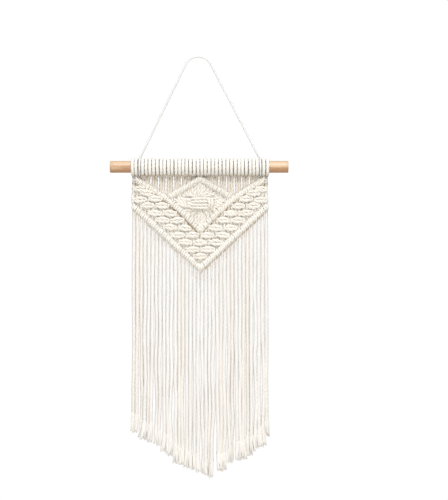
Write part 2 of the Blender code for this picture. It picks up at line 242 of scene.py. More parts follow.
class Socket:
    """An output of a shader node. Arithmetic on it adds Math nodes."""

    def __init__(self, finish, output):
        self.finish, self.output = finish, output

    def math(self, operation, *values, clamp=False):
        settings = {"operation": operation, "use_clamp": clamp}
        return self.finish.add("ShaderNodeMath", settings, dict(enumerate(values)))

    def __add__(self, other):
        return self.math("ADD", self, other)

    def __sub__(self, other):
        return self.math("SUBTRACT", self, other)

    def __rsub__(self, other):
        return self.math("SUBTRACT", other, self)

    def __mul__(self, other):
        return self.math("MULTIPLY", self, other)

    def __abs__(self):
        return self.math("ABSOLUTE", self)

    __radd__, __rmul__ = __add__, __mul__

    def kept(self):
        """The same value, held between 0 and 1."""
        return self.math("ADD", self, 0.0, clamp=True)


class Finish:
    """A material, built from procedural nodes."""

    def __init__(self, name, **constants):
        self.material = bpy.data.materials.new(name)
        self.material.use_nodes = True
        self.tree = self.material.node_tree
        self.shader = self.tree.nodes["Principled BSDF"]
        for socket, value in constants.items():
            self.shader.inputs[socket.replace("_", " ")].default_value = value

    def add(self, kind, settings=None, inputs=None, output=0):
        """A node of this kind: its settings are set first, then its inputs' values or links."""
        node = self.tree.nodes.new(kind)
        for setting, value in (settings or {}).items():
            setattr(node, setting, value)
        for socket, value in (inputs or {}).items():
            self.join(node.inputs[socket], value)
        return Socket(self, node.outputs[output])

    def join(self, target, value):
        """A socket, number, place or colour goes to this input."""
        if isinstance(value, Socket):
            self.tree.links.new(value.output, target)
        else:
            target.default_value = (*value, 1.0) if target.type == "RGBA" else value

    def mix(self, share, first, second):
        """A colour between the first and the second."""
        inputs = {MIX_SHARE: share, MIX_FIRST: first, MIX_SECOND: second}
        return self.add("ShaderNodeMix", {"data_type": "RGBA"}, inputs, MIXED)

    def noise(self, vector, scale=1.0, detail=2.0, roughness=0.5):
        inputs = {"Vector": vector, "Scale": scale, "Detail": detail, "Roughness": roughness}
        return self.add("ShaderNodeTexNoise", None, inputs)

    def stretched(self, vector, scale):
        """The place, with each axis multiplied by its own number."""
        return self.add("ShaderNodeVectorMath", {"operation": "MULTIPLY"}, {0: vector, 1: scale})

    def place(self):
        return self.add("ShaderNodeTexCoord", output="Object")

    def along(self, axis, place):
        return self.add("ShaderNodeSeparateXYZ", None, {"Vector": place}, output=axis)

    def lay(self):
        """Where a point is on its cord: metres along it, and share of the way round."""
        return self.add("ShaderNodeUVMap", {"uv_map": "lay"})

    def measure(self, name):
        return self.add("ShaderNodeAttribute", {"attribute_name": name}, output="Fac")

    def bump(self, height, strength, distance):
        inputs = {"Height": height, "Strength": strength, "Distance": distance}
        return self.add("ShaderNodeBump", None, inputs)

    def finished(self, colour, roughness, normal):
        for socket, value in (
            ("Base Color", colour),
            ("Roughness", roughness),
            ("Normal", normal),
        ):
            self.join(self.shader.inputs[socket], value)
        return self.material


def cotton(name, light, warm, hollow, mottle, nap=0.55):
    """Soft spun cotton: its fibres follow the plies, and shade is painted into its colour, warm
    and dark, in the grooves between plies and under and behind other cord.
    """
    finish = Finish(name, Sheen_Weight=0.15, Sheen_Roughness=0.6, Specular_IOR_Level=0.25)
    lay, place = finish.lay(), finish.place()
    fibres = finish.noise(finish.stretched(lay, FIBRES), detail=3.0, roughness=0.6)
    slubs = finish.noise(finish.stretched(lay, SLUBS))
    patches = finish.noise(place, PATCHES, detail=1.0)
    # The painted shade laid into each cord, and its tone
    shade_to_paint, tone = finish.measure("hollow"), finish.measure("tone")
    # Share of the painted shade colour: the painted shade, and the fibres' own mottling
    depth = (shade_to_paint + ((fibres - 0.5) * 0.4 + (slubs - 0.5) * 0.25) * mottle).kept()
    yellowed = ((YELLOWED_BELOW - finish.along("Z", place)) * YELLOWED_RATE).kept()
    ground = finish.mix((patches * 0.5 + tone * 0.9 + yellowed - 0.25).kept(), light, warm)
    colour = finish.mix(depth, ground, hollow)
    relief = fibres * 0.7 + slubs * 0.6 - shade_to_paint * 0.25
    roughness = (fibres * 0.12 + 0.84).kept()
    return finish.finished(colour, roughness, finish.bump(relief, nap, 0.0004))


def dowel_wood():
    """Pale sanded wood, long-grained with fine pores, and browner along its lower side, which is
    painted shade.

    Under the wraps it is dark, which stands for the deep shade there."""
    finish = Finish("dowel_wood", Specular_IOR_Level=0.6)
    place = finish.place()
    bands = finish.noise(finish.stretched(place, GRAIN), detail=3.0, roughness=0.6)
    pores = finish.noise(finish.stretched(place, PORES), roughness=0.7)
    # The brown's share: the grained bands, and more towards the lower side, which is painted shade
    low = (DOWEL_Z * MM - finish.along("Z", place)) * (1 / (DOWEL_RADIUS * MM))
    grain_and_shade = ((low + (bands - 0.5) * 2.6 + 0.25) * 1.5).kept()
    sanded = finish.mix(grain_and_shade, LIGHT_WOOD, BROWN_WOOD)
    dark_pores = ((pores - 0.6) * 5.0).kept()
    bare = finish.mix(dark_pores * 0.35, sanded, PORE_WOOD)
    inward = HALF_WIDTH * MM - abs(finish.along("X", place) - PANEL_X * MM)
    colour = finish.mix((inward * COVERED_EDGE).kept(), bare, COVERED_WOOD)
    relief = bands * 0.4 - dark_pores * 0.6
    roughness = (grain_and_shade * 0.1 + 0.38).kept()
    return finish.finished(colour, roughness, finish.bump(relief, 0.35, 0.0002))


def painted_plaster():
    finish = Finish("pale_floor", Specular_IOR_Level=0.2)
    cloud = finish.noise(finish.place(), 3.0)
    colour = finish.mix(cloud * 0.4, (0.90, 0.90, 0.89), (0.86, 0.86, 0.85))
    fine = finish.noise(finish.place(), 400.0)
    return finish.finished(colour, fine * 0.1 + 0.75, finish.bump(fine, 0.1, 0.0005))


def lit_paper():
    finish = Finish("white_backdrop", Emission_Strength=1.0)
    finish.join(finish.shader.inputs["Base Color"], (0.0, 0.0, 0.0))
    finish.join(finish.shader.inputs["Emission Color"], WHITE)
    return finish.material


# ---------------------------------------------------------------- cord


def distances(path):
    """How far along the path each of its points is."""
    return np.concatenate([[0.0], np.cumsum(np.linalg.norm(np.diff(path, axis=0), axis=1))])


def smooth(rows, step):
    """Rows read every step along the curve that runs smoothly through the given ones."""
    rows = np.asarray(rows, float)
    rows = np.vstack([2 * rows[0] - rows[1], rows, 2 * rows[-1] - rows[-2]])
    fine = []
    for a, b, c, d in zip(rows, rows[1:], rows[2:], rows[3:]):
        gaps = [np.linalg.norm((q - p)[:3]) for p, q in ((a, b), (b, c), (c, d))]
        t0, t1, t2, t3 = np.cumsum([0.0, *[max(gap, 1e-3) ** 0.5 for gap in gaps]])
        t = np.linspace(t1, t2, 14, endpoint=False)[:, None]
        ab = a * (t1 - t) / (t1 - t0) + b * (t - t0) / (t1 - t0)
        bc = b * (t2 - t) / (t2 - t1) + c * (t - t1) / (t2 - t1)
        cd = c * (t3 - t) / (t3 - t2) + d * (t - t2) / (t3 - t2)
        early = ab * (t2 - t) / (t2 - t0) + bc * (t - t0) / (t2 - t0)
        late = bc * (t3 - t) / (t3 - t1) + cd * (t - t1) / (t3 - t1)
        fine.append(early * (t2 - t) / (t2 - t1) + late * (t - t1) / (t2 - t1))
    fine = np.vstack([*fine, rows[-2:-1]])
    reach = distances(fine[:, :3])
    wanted = np.linspace(0, reach[-1], max(2, round(reach[-1] / step)) + 1)
    return np.column_stack([np.interp(wanted, reach, column) for column in fine.T])


def carried_frames(path):
    """Two directions across each point of the path, which never spin round it."""
    along = np.gradient(path, axis=0)
    along /= np.linalg.norm(along, axis=1)[:, None]
    side = np.empty_like(along)
    guess = np.array([0.0, 1.0, 0.0]) if abs(along[0][1]) < 0.9 else np.array([1.0, 0.0, 0.0])
    for i, direction in enumerate(along):
        guess = guess - direction * guess.dot(direction)
        guess = guess / np.linalg.norm(guess)
        side[i] = guess
    return side, np.cross(along, side)


class Cords:
    """Lengths of twisted cord, gathered into one mesh."""

    def __init__(self):
        self.places, self.faces, self.lay_uv = [], [], []
        self.hollows, self.tones, self.count = [], [], 0

    def lay(
        self,
        rows,
        step,
        sides=12,
        plies=3,
        turn=LAY,
        depth=0.24,
        phase=0.0,
        tone=0.5,
        shade=0.33,
        shade_to_paint=None,
    ):
        """One length of cord. The plies show as ridges, depth deep as a share of the radius.

        Shade is painted into it in the grooves where the plies meet and where the function given
        for it says so, given x, y, z and how far the surface there is turned to the front (1, or 0
        at the cord's back)."""
        rows = smooth(rows, step)
        path, radius = rows[:, :3], rows[:, 3]
        side, other = carried_frames(path)
        reach = distances(path)
        spin = phase + (math.tau * reach / turn if plies else 0 * reach)
        around = np.linspace(0, math.tau, sides, endpoint=False)
        ridge = np.abs(np.cos(plies * around / 2)) ** PLY_ROUND if plies else np.ones(sides)
        angle = around[None, :] + spin[:, None]
        size = radius[:, None] * (1 - depth + depth * ridge)[None, :]
        places = (
            path[:, None, :]
            + (size * np.cos(angle))[:, :, None] * side[:, None, :]
            + (size * np.sin(angle))[:, :, None] * other[:, None, :]
        )
        # Painted shade: in the grooves between the plies, and more where the given function asks
        # for it
        hollow = np.tile((1 - ridge) * shade, (len(rows), 1))
        if shade_to_paint:
            backwards = (places[:, :, 1] - path[:, None, 1]) / size
            hidden = shade_to_paint(*np.moveaxis(places, 2, 0), np.clip(1.5 - 2 * backwards, 0, 1))
            hollow = np.maximum(hollow, np.clip(hidden, 0, 1))
        self.places.append(places.reshape(-1, 3))
        self.hollows.append(hollow.ravel())
        self.tones.append(np.full(hollow.size, tone))
        self.skin(reach * MM, sides)
        return self

    def skin(self, reach, sides):
        """The faces along the cord just laid and over its two ends, each with its lay."""
        rings, first = len(reach), self.count
        self.count += rings * sides
        low = np.arange(rings - 1)[:, None] * sides + first
        j = np.arange(sides)[None, :]
        k = (j + 1) % sides
        quads = np.stack([low + j, low + k, low + sides + k, low + sides + j], axis=-1)
        self.faces += quads.reshape(-1, 4).tolist()
        below, above = reach[:-1, None], reach[1:, None]
        left, right = j / sides, (j + 1) / sides
        corners = [(below, left), (below, right), (above, right), (above, left)]
        uv = [np.stack(np.broadcast_arrays(u, v), axis=-1) for u, v in corners]
        self.lay_uv.append(np.stack(uv, axis=2).reshape(-1, 2))
        for ring, turned in ((0, True), (rings - 1, False)):
            corner = [first + ring * sides + n for n in range(sides)]
            self.faces.append(corner[::-1] if turned else corner)
            self.lay_uv.append(np.tile([reach[ring], 0.5], (sides, 1)))

    def piece(self, name, surface, nodes, slot="cotton_cord"):
        mesh = bpy.data.meshes.new(name)
        mesh.from_pydata((np.vstack(self.places) * MM).tolist(), [], self.faces)
        mesh.uv_layers.new(name="lay").data.foreach_set("uv", np.vstack(self.lay_uv).ravel())
        # Each point's painted shade, and its tone, for the material
        for label, values in (("hollow", self.hollows), ("tone", self.tones)):
            attribute = mesh.attributes.new(label, "FLOAT", "POINT")
            attribute.data.foreach_set("value", np.concatenate(values).astype(np.float32))
        return fitted(mesh, surface, nodes)


def placed(name, data):
    """A new object of this data, in the scene."""
    made = bpy.data.objects.new(name, data)
    bpy.context.scene.collection.objects.link(made)
    return made


def fitted(mesh, surface, nodes):
    """The mesh as a smooth piece, which rides on the one body and stands for these solids."""
    mesh.polygons.foreach_set("use_smooth", [True] * len(mesh.polygons))
    mesh.materials.append(surface)
    piece = placed(mesh.name, mesh)
    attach(piece, "root")
    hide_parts(*nodes)
    return piece


# ---------------------------------------------------------------- layout of the pattern


def strand_x(number):
    return PANEL_X + (number - MIDDLE) * STRAND_PITCH


def heading_x(strand):
    """The middle of a strand's wrap on the dowel, with the hanging cord's turns let in."""
    turns = sum(strand > after for after in HANGER_AFTER)
    return PANEL_X + (strand - MIDDLE) * WRAP_PITCH + (turns - 1) * HANGER_ROOM


def hanger_x(after):
    return (heading_x(after) + heading_x(after + 1)) / 2


def v_height(shape, x):
    vertex, rise, bow = shape
    share = abs(x - PANEL_X) / HALF_WIDTH
    return vertex + rise * share + 4 * bow * share * (1 - share)


def v_slope(shape, x):
    return (v_height(shape, x + 0.5) - v_height(shape, x - 0.5)) if abs(x - PANEL_X) > 0.5 else 0


def inverted_height(x):
    return INVERTED_APEX - INVERTED_DROP * abs(x - PANEL_X) / INVERTED_HALF


def in_diamond(number):
    return abs(number - MIDDLE) < INVERTED_STRANDS


def net_height(x, row):
    """The height of a net knot, eased down where the upper V comes close above it."""
    out = abs(x - PANEL_X)
    first = min(NET_ROWS[0] + NET_SLOPE * out, v_height(UPPER_V, x) - NET_UNDER_BAR)
    if row == 0:
        return first
    return min(NET_ROWS[1] + NET_SLOPE * out, first - NET_ROW_DROP)


def shaken(amount):
    return RNG.uniform(-amount, amount)


# ---------------------------------------------------------------- painted shade between cords


def rising(value, start, width, strength=1):
    """0 up to the start, and the full strength from this width past it."""
    return np.clip((value - start) / width, 0, 1) * strength


def under_bar(shape, x, y, z, reach, edge):
    """How much painted shade a place gets along a bar's lower edge, and between the strands that
    leave it.
    """
    below = (v_height(shape, x) - z) / math.hypot(1, shape[1] / HALF_WIDTH)
    gaps = rising(reach - below, 0, GAP_FADE) * rising(below, GAP_START, GAP_RISE)
    contact = np.clip((EDGE_REACH - np.abs(below - BAR_EDGE)) / EDGE_FADE, 0, 1) * (y > 0)
    return np.maximum(gaps * (y - GAP_Y) / GAP_DEPTH, edge * contact)


def behind_front(x, y, z, forward):
    """How much painted shade a place in the panel gets: deep behind its front, under the heading,
    on strands that hang free, and close below a bar.
    """
    deep = np.maximum(rising(y, *PANEL_BACK), rising(z - DOWEL_Z, *UNDER_HEADING))
    over_bars = np.maximum(v_height(UPPER_V, x), inverted_height(x)) + HUNG_OVER_BAR
    hung = (z > over_bars) * (HUNG_SHADE + rising(y, *HUNG_BACK))
    edge = np.where(x < PANEL_X, *UPPER_EDGE)
    return np.maximum(deep + hung, under_bar(UPPER_V, x, y, z, UPPER_GAPS, edge)) * forward


def leaving_bar(number):
    """The painted shade on one fringe strand, where it leaves the lower V."""
    reach = RNG.uniform(*LOWER_GAPS) + (VERTEX_GAPS if abs(number - MIDDLE) < 2 else 0.0)
    edge = RNG.uniform(*LOWER_EDGE) + LOWER_EDGE_RIGHT * (number > MIDDLE)
    return lambda x, y, z, forward: under_bar(LOWER_V, x, y, z, reach, edge) * forward


def near_dowel(x, y, z, forward):
    """The painted shade on a place in the heading, whichever way it is turned: 1 on the dowel, and
    more along the heading's lower edge.
    """
    against = (DOWEL_RADIUS + ON_DOWEL - np.hypot(y, z - DOWEL_Z)) / ON_DOWEL_FADE
    return np.maximum(against, rising(DOWEL_Z - z, *HEADING_FOOT))


# ---------------------------------------------------------------- knots


def mirrored(rows):
    """The rows down to a knot's middle, and the same ones upside down on the way out of it."""
    return [*rows, *[(x, y, -z, *rest) for x, y, z, *rest in rows[-2::-1]]]


# A square knot seen from the front: x, y and z from its middle, and cord radius. The first cord
# starts at the right and crosses in front twice, the second starts at the left, crosses
# behind twice, and makes the upright bump at the right. Two fillers run straight through.
FRONT_CROSSING = mirrored(
    (
        (7.6, 0.4, 4.9, 2.7),
        (8.6, -0.4, 3.1, 1.9),
        (5.6, -3.0, 1.8, 2.15),
        (0.0, -4.1, 2.25, 2.6),
        (-5.0, -3.3, 1.5, 2.15),
        (-8.0, -1.8, 0.8, 1.7),
        (-9.4, 0.2, 0.0, 1.8),
    )
)
BACK_CROSSING = (
    (-7.6, 0.4, 4.9, 2.7),
    (-8.4, -1.6, 3.0, 1.9),
    (-7.8, -2.8, 1.4, 1.7),
    (-6.6, -0.2, 0.3, 1.7),
    (-4.2, 3.2, 0.9, 2.3),
    (0.0, 3.8, 1.6, 2.4),
    (4.2, 3.2, 2.7, 2.3),
    (6.2, -0.2, 3.1, 1.8),
    (7.9, -2.7, 1.8, 1.7),
    (8.7, -3.0, 0.0, 1.8),
    (7.9, -2.7, -1.8, 1.7),
    (6.2, -0.2, -3.1, 1.8),
    (4.2, 3.2, -2.7, 2.3),
    (0.0, 3.8, -1.6, 2.4),
    (-4.2, 3.2, -0.9, 2.3),
    (-6.6, -0.2, -0.3, 1.7),
    (-7.8, -2.8, -1.5, 1.7),
    (-8.4, -1.6, -3.1, 1.9),
    (-7.6, 0.4, -4.9, 2.7),
)
NET_FILLER = 2.3  # from the knot's middle


def net_crossing(place, x, z, tilt, size):
    """A strand's way through one square knot. place is -1.5, -0.5, 0.5 or 1.5 in it."""
    if abs(place) < 1:
        side = math.copysign(NET_FILLER, place)
        rows = mirrored([(side * 1.12, 0.2, 4.5, 2.7), (side, 0.6, 0.0, 2.2)])
    else:
        rows = FRONT_CROSSING if place > 0 else BACK_CROSSING
    return [
        (
            x + (across * size - up * tilt) + shaken(CROSSING_OFF_X),
            PANEL_Y + depth * size + shaken(CROSSING_OFF_Y),
            z + (up * size + across * tilt) + shaken(CROSSING_OFF_Z),
            radius,
        )
        for across, depth, up, radius in rows
    ]


def hitch(x, z, slope, inward):
    """Two turns of a strand round a bar's holding cord, from behind its top to behind its foot."""
    length = math.hypot(1, slope)
    along, up = (1 / length, slope / length), (-slope / length, 1 / length)
    wobble, size = shaken(HITCH_OFF), 1 + shaken(HITCH_SIZE)
    rows = []
    for degrees in HITCH_DEGREES:
        turn = math.radians(degrees)
        drift = (degrees - 360) / 360 * HITCH_PITCH
        shift = -inward * max(-HITCH_HALF, min(HITCH_HALF, drift)) + wobble
        lift = -BAR_TURN * size * math.sin(turn)
        depth = BAR_TURN * size * math.cos(turn)
        rows.append(
            (
                x + along[0] * shift + up[0] * lift,
                BAR_Y + depth,
                z + along[1] * shift + up[1] * lift,
                HITCHED[slope > 0],
            )
        )
    return rows


def bar_hitch(shape, number):
    x = PANEL_X + (strand_x(number) - PANEL_X) * V_NARROWED
    inward = 1 if x < PANEL_X else -1
    return hitch(x, v_height(shape, x), v_slope(shape, x), inward)


def inverted_hitch(number):
    x = strand_x(number)
    outward = -1 if x < PANEL_X else 1
    slope = -outward * INVERTED_DROP / INVERTED_HALF
    return hitch(x, inverted_height(x), slope, outward)


# The centre knot, x, y and z from its middle: its two crossings, each of an inner and an outer
# strand on either side of the rows here, and the fillers that run straight through it
CENTRE_FRONT = (
    (17.5, 0.2, 4.0),
    (12.5, -2.6, 4.4),
    (7.5, -5.3, 4.2),
    (-1.0, -6.0, 4.2),
    (-8.5, -5.2, 4.0),
    (-13.0, -2.8, 3.2),
)
CENTRE_BENDS = ((-13.4, 0.6, 0.0), (-17.0, 0.6, 0.0))  # of the inner and the outer strand
CENTRE_BACK = (
    (-18.5, -1.5, 2.8),
    (-15.2, -4.2, 2.4),
    (-12.2, 0.8, 2.0),
    (-8.0, 6.0, 1.4),
    (6.0, 6.6, 2.4),
    (11.2, 2.2, 5.2),
    (13.0, -3.6, 6.2),
    (14.3, -7.0, 3.6),
    (14.6, -7.4, 0.0),
)
BUMP_X = 11  # past this the back crossing runs upright
FRONT_APART, BACK_APART = 2.0, 1.9
CENTRE_FILLERS = 6  # on each side
FILLER_FIRST, FILLER_PITCH, FILLER_END = 1.7, 1.62, 8.5
FILLER_DEPTHS = (-0.6, 3.2)
SPREAD_Y, SPREAD_GAP = 1.6, 2  # where the strands reach a bar, and how far clear of its hitches


def centre_front(outer):
    offset = FRONT_APART if outer else -FRONT_APART
    return mirrored([*[(x, y, z + offset) for x, y, z in CENTRE_FRONT], CENTRE_BENDS[outer]])


def centre_back(outer):
    offset = BACK_APART if outer else -BACK_APART
    return mirrored(
        [
            (x + offset, y, z) if x > BUMP_X else (x, y, z + offset * 0.8)
            for x, y, z in CENTRE_BACK
        ]
    )


def centre_filler(side, order):
    column = side * (FILLER_FIRST + order * FILLER_PITCH)
    return [(column, FILLER_DEPTHS[order % 2], z) for z in (FILLER_END, 0.0, -FILLER_END)]


def centre_crossing(number):
    """A strand's way from the inverted V through the large knot below it to the upper V."""
    side = math.copysign(1, number - MIDDLE)
    order = int(abs(number - MIDDLE))  # 0 beside the middle, 7 at an end of the inverted V
    if order < CENTRE_FILLERS:
        rows = centre_filler(side, order)
    else:
        rows = (centre_front if side > 0 else centre_back)(order == CENTRE_FILLERS)
    x = strand_x(number) - PANEL_X
    above = (x, SPREAD_Y, inverted_height(PANEL_X + x) - CENTRE_Z - BAR_TURN - SPREAD_GAP)
    below = (x, SPREAD_Y, v_height(UPPER_V, PANEL_X + x) - CENTRE_Z + BAR_TURN + SPREAD_GAP)
    route = [
        *[spread(rows[0], above, share) for share in (0.75, 0.4)],
        *[(*row, KNOTTED) for row in rows],
        *[spread(rows[-1], below, share) for share in (0.4, 0.75)],
    ]
    return [(PANEL_X + x, PANEL_Y + y, CENTRE_Z + z, radius) for x, y, z, radius in route]


def spread(near, far, share):
    """A row where a strand is on its way between the centre knot and a bar."""
    return (*[a + (b - a) * share for a, b in zip(near, far)], SPREAD)


# ---------------------------------------------------------------- routes of the strands


def wrap_rows(number):
    """A strand's turn round the dowel, from its knot's bar behind, to where it hangs down."""
    side = 1 if number % 2 == 0 else -1
    x = heading_x(number) + shaken(WRAP_OFF)
    middle = x - side * WRAP_PITCH / 2
    lean, size = shaken(WRAP_LEAN), 1 + shaken(WRAP_SIZE)
    turn = (DOWEL_RADIUS + WRAPPED - WRAP_PRESSED) * size
    rows = [
        # x, y and height from the dowel's axis, radius
        (middle, 14.0, -3.4 + shaken(WRAP_BAR_OFF), 2.0),
        (middle + side * 2.6, 12.9, -4.6, 1.9),
        (x + side * 0.7, 9.2, -7.6, 1.9),
        (x + side * 0.3, 4.6, -9.8, 2.1),
        (x, 0.0, -turn - 0.1, WRAPPED),
    ]
    for degrees in range(30, 211, 30):
        angle = math.radians(degrees)
        level, depth = -math.cos(angle) * turn, -math.sin(angle) * turn
        rows.append((x + lean * math.sin(angle), depth, level, WRAPPED))
    hung = strand_x(number)
    rows += [
        (x - side * 0.8, turn - 0.7, 3.0, 2.1),
        (x - side * 1.2, turn - 0.7, -2.5, 1.9),
        (x * 0.5 + hung * 0.5 - side * 0.6, 8.4, -7.5, 2.2),
        (hung, 6.4, -12.0, FREE),
    ]
    return [(a, b, DOWEL_Z + c, r) for a, b, c, r in rows]


def free_rows(number, top, foot):
    """A strand between the heading and its first bar, hanging freely if there is room."""
    if top[2] - foot[2] < SHORTEST_FREE:
        return []
    x = strand_x(number) + (PAIRED if number % 2 == 0 else -PAIRED)
    middle = (top[2] + foot[2]) / 2
    return [
        (x, PANEL_Y + 2.6, middle + (top[2] - middle) * 0.45, FREE),
        (x, PANEL_Y + 1.8, middle + (foot[2] - middle) * 0.5, FREE),
    ]


def into_lower_bar(number):
    """Where a strand goes from the panel into the lower V."""
    x = strand_x(number)
    return (x, PANEL_Y + 1.5, v_height(LOWER_V, x) + 6.5, FREE * 0.9)


def panel_rows(number):
    """A strand from the heading, through every knot that takes it, to above the lower V."""
    rows = wrap_rows(number)[-2:]
    if 1 < number < STRANDS:
        first = inverted_hitch(number) if in_diamond(number) else bar_hitch(UPPER_V, number)
        rows += [*free_rows(number, rows[-1], first[0]), *first]
    else:
        rows.append((strand_x(number), PANEL_Y + 1, DOWEL_Z - 24, FREE))
    if in_diamond(number):
        rows += [*centre_crossing(number), *bar_hitch(UPPER_V, number)]
    for place, knot_x, z, tilt, size in knots_of(number):
        rows += net_crossing(place, knot_x, z, tilt, size)
    return [*rows, into_lower_bar(number)]


# The net's knots: middle strand, x, row, tilt, size, and how far off its place each is
NET = [
    (
        column / 2,
        strand_x(column / 2),
        row,
        shaken(NET_TILT),
        1 + shaken(NET_SIZE),
        shaken(NET_OFF_X),
        shaken(NET_OFF_Z),
    )
    for column in range(5, 2 * STRANDS, 4)
    for row in (0, 1)
]


def knots_of(number):
    """The net knots that take this strand, from the top down."""
    held = []
    for column, x, row, tilt, size, off_x, off_z in NET:
        if abs(column - number) < 2:
            z = net_height(x, row) + off_z
            held.append((number - column, x + off_x, z, tilt, size))
    return sorted(held, key=lambda knot: -knot[2])


def lower_bar_rows(number):
    """A strand's two turns round the lower V's holding cord."""
    x = strand_x(number)
    left = (x, PANEL_Y + 0.6, v_height(LOWER_V, x) - BAR_LEFT, 1.7)
    return [into_lower_bar(number), *bar_hitch(LOWER_V, number), left]


def holding_rows(shape, side):
    """A V's holding cord, from its outer end to a little past the vertex."""
    rows = []
    for i in range(19):
        x = PANEL_X + side * (HALF_WIDTH - 2.0) * (1 - i / 18)
        rows.append((x, BAR_Y, v_height(shape, x), HOLDING))
    first, last = rows[0], rows[-1]
    start = (first[0] + side * 0.6, first[1] + 3.0, first[2] + 3.5, 1.4)
    tail = (last[0] - side * 3.0, last[1] + 2.0, last[2] - 3.0, 1.4)
    return [start, *rows, tail]


def inverted_holding_rows(side):
    """The holding cord of one side of the inverted V, from its apex out."""
    rows = []
    for i in range(9):
        x = PANEL_X + side * (0.6 + (INVERTED_HALF - 1) * i / 8)
        rows.append((x, BAR_Y, inverted_height(x), HOLDING))
    return rows


# ---------------------------------------------------------------- fringe

# Where the strands end: the first and the last strand of each tuft that hangs together, and
# the heights of their ends
TUFTS = (
    (1, 2, -503.5, -506.0),
    (3, 6, -512.5, -518.5),
    (7, 8, -520.5, -523.0),
    (9, 11, -531.0, -537.0),
    (12, 14, -546.5, -549.5),
    (15, 16, -553.0, -554.5),
    (17, 18, -556.0, -558.5),
    (19, 22, -561.0, -566.0),
    (23, 25, -558.5, -556.0),
    (26, 27, -546.5, -544.0),
    (28, 30, -543.0, -541.0),
    (31, 32, -537.0, -531.5),
    (33, 34, -527.5, -525.0),
    (35, 36, -522.5, -511.0),
)
SET_BACK = (1, 2, 3, 13, 14, 24, 26, 27, 30, 31, 36)  # strands behind the others, and painted in a warm tone as shade


def tuft_of(number):
    """The middle of the tuft that a strand hangs in, and the height of the strand's end."""
    first, last, start, end = next(tuft for tuft in TUFTS if number <= tuft[1])
    share = (number - first) / (last - first)
    return strand_x((first + last) / 2), start + (end - start) * share


def fringe_rows(number):
    """A loose strand from under the lower V to where it is cut, thinner as it frays."""
    x = strand_x(number)
    top = v_height(LOWER_V, x) - BAR_LEFT
    middle, end = tuft_of(number)
    foot = end + FRAY
    sway, swing = shaken(SWAY), RNG.uniform(0, math.tau)
    wave = RNG.uniform(*WAVE)
    deep = (BEHIND if number % 2 else IN_FRONT) + shaken(FRINGE_OFF_Y)
    deep += FARTHER_BACK if number in SET_BACK else 0
    rows = [
        (x, PANEL_Y, top + 2.0, 2.1),
        (x + shaken(FRINGE_OFF_X), PANEL_Y - 0.5, top - 4.0, 2.25),
    ]
    start, count = top - 5, 9
    for i in range(1, count + 1):
        share = i / count
        z = start + (foot - start) * share
        drawn = (middle - x) * GATHER * max(0, share - GATHER_FROM) ** 1.3
        splayed = (x - PANEL_X) * SPLAY * share
        waver = sway * share**0.6 * math.sin(swing + z / wave * math.tau)
        ripple = RIPPLE * math.sin(swing * 1.7 + z / RIPPLE_WAVE * math.tau) * share
        depth = deep * min(1, share * 2) + ripple
        rows.append((x + drawn + splayed + waver, PANEL_Y + depth, z, LOOSE))
    x, y, z, _ = rows[-1]
    frayed = ((0.25, LOOSE), (0.5, 2.3), (0.75, 1.5))
    return [*rows, *[(x, y, z - FRAY * share, radius) for share, radius in frayed]]


def fray(cords, rows, end, tone):
    """Fine locks of fibre all round a strand's end, which open out like a brush."""
    x, y, top, radius = rows[-4]
    lean = shaken(LEAN) + (x - PANEL_X) * LEAN_OUTWARDS
    for _ in range(LOCKS):
        start = top - FRAY * RNG.uniform(*LOCK_STARTS)
        foot = end + abs(shaken(LOCK_SHORT)) - LOCK_OVER
        angle, flare, curl = RNG.uniform(0, math.tau), RNG.uniform(*FLARE), shaken(CURL)
        lock = []
        for i in range(6):
            share = i / 5
            z = start + (foot - start) * share
            down = max(0, (top - z) / FRAY)
            out = radius - 0.5 + flare * down**2
            lock.append(
                (
                    x + lean * down**1.5 + out * math.cos(angle) + curl * math.sin(share * 3),
                    y + out * math.sin(angle),
                    z,
                    LOCK_RADIUS - LOCK_THINNED * share,
                )
            )
        cords.lay(lock, **LOCK, tone=tone)


# ---------------------------------------------------------------- the making


def make_camera():
    data = bpy.data.cameras.new("view")
    data.sensor_width = SENSOR
    data.lens = SENSOR * CAMERA_DISTANCE / PICTURE_HEIGHT
    camera = placed("view", data)
    x, z = PICTURE_CENTRE
    camera.location = (x * MM, (PANEL_Y - CAMERA_DISTANCE) * MM, z * MM)
    camera.rotation_euler = (math.pi / 2, 0, 0)
    bpy.context.scene.camera = camera


def tie_turn_rows(x, side):
    """The hanging cord's turn round the dowel, which winds outwards a little."""
    turn = DOWEL_RADIUS + TIE_OUT
    rows = []
    for degrees in range(-20, 381, 25):
        angle = math.radians(degrees + 45)
        drift = side * (degrees / 360 - 0.5) * TIE_DRIFT
        rows.append((x + drift, turn * math.cos(angle), DOWEL_Z + turn * math.sin(angle), THIN))
    return rows


def tie_knot_rows(x):
    """The small knot behind the dowel's top, an overhand knot drawn tight."""
    rows = []
    for i in range(25):
        t = math.tau * i / 24
        rows.append(
            (
                x + 1.25 * (math.sin(t) + 1.4 * math.sin(2 * t)),
                TIE_KNOT_Y + 1.15 * (math.cos(t) - 1.4 * math.cos(2 * t)),
                DOWEL_Z + TIE_KNOT_UP - 1.9 * math.sin(3 * t),
                1.25,
            )
        )
    return rows


def make_hanger(surface):
    """The hanging cord, and the turn and the knot at each end of it."""
    rows = [(*(v / MM for v in point), THIN) for point in CORD_ROUTE]
    cord = Cords().lay(rows, **HANGER_CORD, phase=0.4)
    path = smooth(rows, 2.0)[:, :3] * MM
    for side, after, node in zip((-1, 1), HANGER_AFTER, ("hanger_tie_left", "hanger_tie_right")):
        x, tie = hanger_x(after), Cords()
        for rows in (tie_turn_rows(x, side), tie_knot_rows(x)):
            tie.lay(rows, **TIE_CORD)
        tie.piece(f"{node}_twisted", surface, [node], "thin_cotton_cord")
    made = cord.piece("hanger_cord_twisted", surface, ["hanger_cord"], "thin_cotton_cord")


